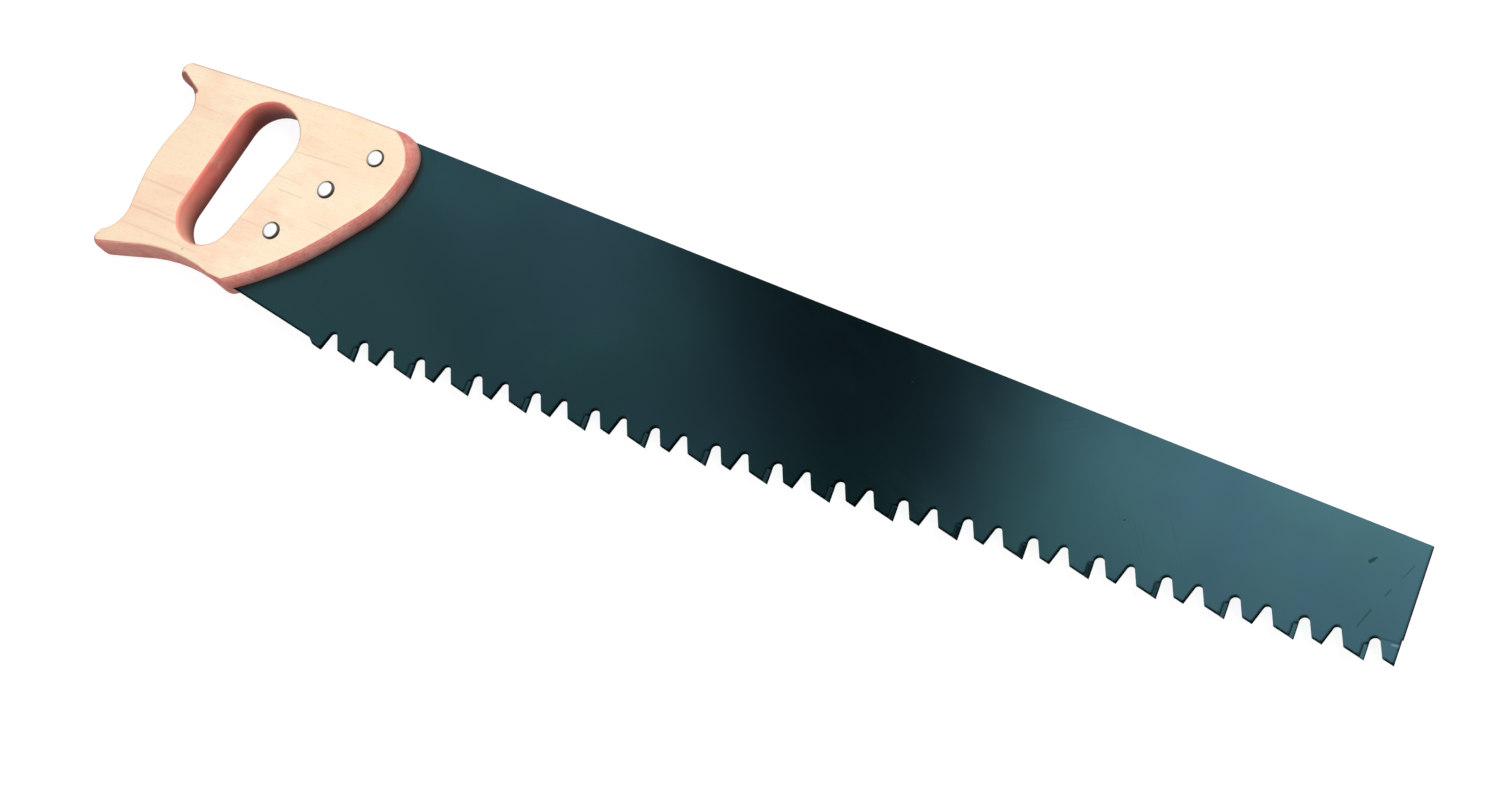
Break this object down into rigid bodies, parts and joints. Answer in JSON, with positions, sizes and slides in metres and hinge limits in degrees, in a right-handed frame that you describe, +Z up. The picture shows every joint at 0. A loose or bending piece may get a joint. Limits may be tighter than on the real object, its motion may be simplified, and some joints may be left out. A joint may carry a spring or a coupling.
{
  "type": "aerated concrete saw",
  "caption": "Hand saw for aerated concrete block: tapered painted steel blade, hard-metal tipped teeth alternating with plain ones, closed beech handle held by three bolts.",
  "frame": {"origin": "on the handle's far face, on the axis of the middle of the three fasteners; the saw lies flat on that face", "axes": "+X along the tooth line towards the toe, +Y from the teeth to the blade's back edge, +Z up through the thickness to the face that shows the bolt heads"},
  "size_m": [0.749, 0.1359, 0.0239],
  "materials": {
    "blade_paint": "satin",
    "carbide": "ground",
    "beech": "lacquered",
    "bolt_steel": "polished",
    "nut_steel": "brushed"
  },
  "bodies": {
    "root": {"blade": "blade_paint", "handle": "beech", "carbide_tip_01": "carbide", "carbide_tip_02": "carbide", "carbide_tip_03": "carbide", "carbide_tip_04": "carbide", "carbide_tip_05": "carbide", "carbide_tip_06": "carbide", "carbide_tip_07": "carbide", "carbide_tip_08": "carbide", "carbide_tip_09": "carbide", "carbide_tip_10": "carbide", "carbide_tip_11": "carbide", "carbide_tip_12": "carbide", "carbide_tip_13": "carbide", "carbide_tip_14": "carbide", "carbide_tip_15": "carbide", "carbide_tip_16": "carbide", "carbide_tip_17": "carbide", "handle_bolt_1": "bolt_steel", "handle_bolt_2": "bolt_steel", "handle_bolt_3": "bolt_steel", "handle_nut_1": "nut_steel", "handle_nut_2": "nut_steel", "handle_nut_3": "nut_steel"}
  },
  "joints": []
}
